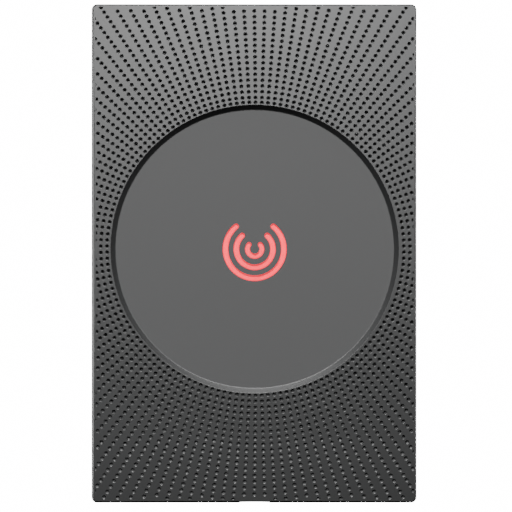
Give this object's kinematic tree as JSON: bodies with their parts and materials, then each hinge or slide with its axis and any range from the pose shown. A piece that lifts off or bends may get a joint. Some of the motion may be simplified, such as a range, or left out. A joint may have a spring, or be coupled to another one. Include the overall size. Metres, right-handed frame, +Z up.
{
  "type": "rfid card reader",
  "caption": "Wall-mounted contactless card reader: a domed slab with a round target recess, dimpled face and red arc light, hung on a back plate.",
  "frame": {"origin": "middle of the wall plate's back face, on the wall plane", "axes": "+Z up the wall, +X to the right as the front is seen, -Y out of the wall through the reader's front"},
  "size_m": [0.075, 0.016, 0.115],
  "materials": {
    "case_plastic": "fine matte charcoal moulding",
    "plate_plastic": "matte black moulding",
    "seal_rubber": "matte black",
    "light_guide": "translucent red, lit from behind",
    "white_plastic": "opaque white",
    "header_plastic": "natural ivory nylon",
    "led_package": "clear resin on ivory",
    "circuit_board": "green solder mask",
    "copper_wire": "enamelled copper winding",
    "chip_plastic": "black moulding compound",
    "tinned_metal": "satin",
    "zinc_screw": "zinc plated",
    "spring_steel": "stainless, satin",
    "brass_insert": "turned"
  },
  "bodies": {
    "wall_mount": {"wall_plate": "plate_plastic", "lug_insert": "brass_insert"},
    "reader": {"front_cover": "case_plastic", "rear_cover": "case_plastic", "cover_seal": "seal_rubber", "case_screw_1": "zinc_screw", "case_screw_2": "zinc_screw", "case_screw_3": "zinc_screw", "case_screw_4": "zinc_screw", "light_guide": "light_guide", "light_baffle": "white_plastic", "status_led_1": "led_package", "status_led_2": "led_package", "status_led_3": "led_package", "status_led_4": "led_package", "main_board": "circuit_board", "antenna_coil": "copper_wire", "board_screw_1": "zinc_screw", "board_screw_2": "zinc_screw", "board_screw_3": "zinc_screw", "microcontroller": "chip_plastic", "reader_chip": "chip_plastic", "line_driver": "chip_plastic", "voltage_regulator": "chip_plastic", "crystal": "tinned_metal", "bulk_capacitor_1": "tinned_metal", "bulk_capacitor_2": "tinned_metal", "buzzer": "chip_plastic", "cable_header": "header_plastic", "header_pin_1": "tinned_metal", "header_pin_2": "tinned_metal", "header_pin_3": "tinned_metal", "header_pin_4": "tinned_metal", "header_pin_5": "tinned_metal", "header_pin_6": "tinned_metal", "header_pin_7": "tinned_metal", "header_pin_8": "tinned_metal", "header_seal": "seal_rubber", "tamper_switch": "chip_plastic", "tamper_spring": "spring_steel"},
    "plunger": {"tamper_plunger": "white_plastic"},
    "washer": {"lock_washer": "spring_steel"},
    "screw": {"security_screw": "spring_steel"}
  },
  "joints": [
    {"name": "reader_swing", "type": "hinge", "parent": "wall_mount", "child": "reader", "pos_m": [0, -0.0015, 0.0536], "axis": [-1, 0, 0], "range_deg": [0, 17]},
    {"name": "tamper_press", "type": "slide", "parent": "reader", "child": "plunger", "axis": [0, -1, 0], "range_m": [0, 0.001], "stiffness_N_per_m": 150, "deforming": ["tamper_spring"]},
    {"name": "screw_travel", "type": "slide", "parent": "wall_mount", "child": "washer", "axis": [0, 0, -1], "range_m": [0, 0.002]},
    {"name": "screw_turn", "type": "hinge", "parent": "washer", "child": "screw", "pos_m": [0, -0.0046, -0.0571], "axis": [0, 0, -1], "range_deg": [0, 1440]}
  ],
  "couplings": [
    {"joint": "screw_turn", "follows": "screw_travel", "rad_per_m": 12566}
  ]
}
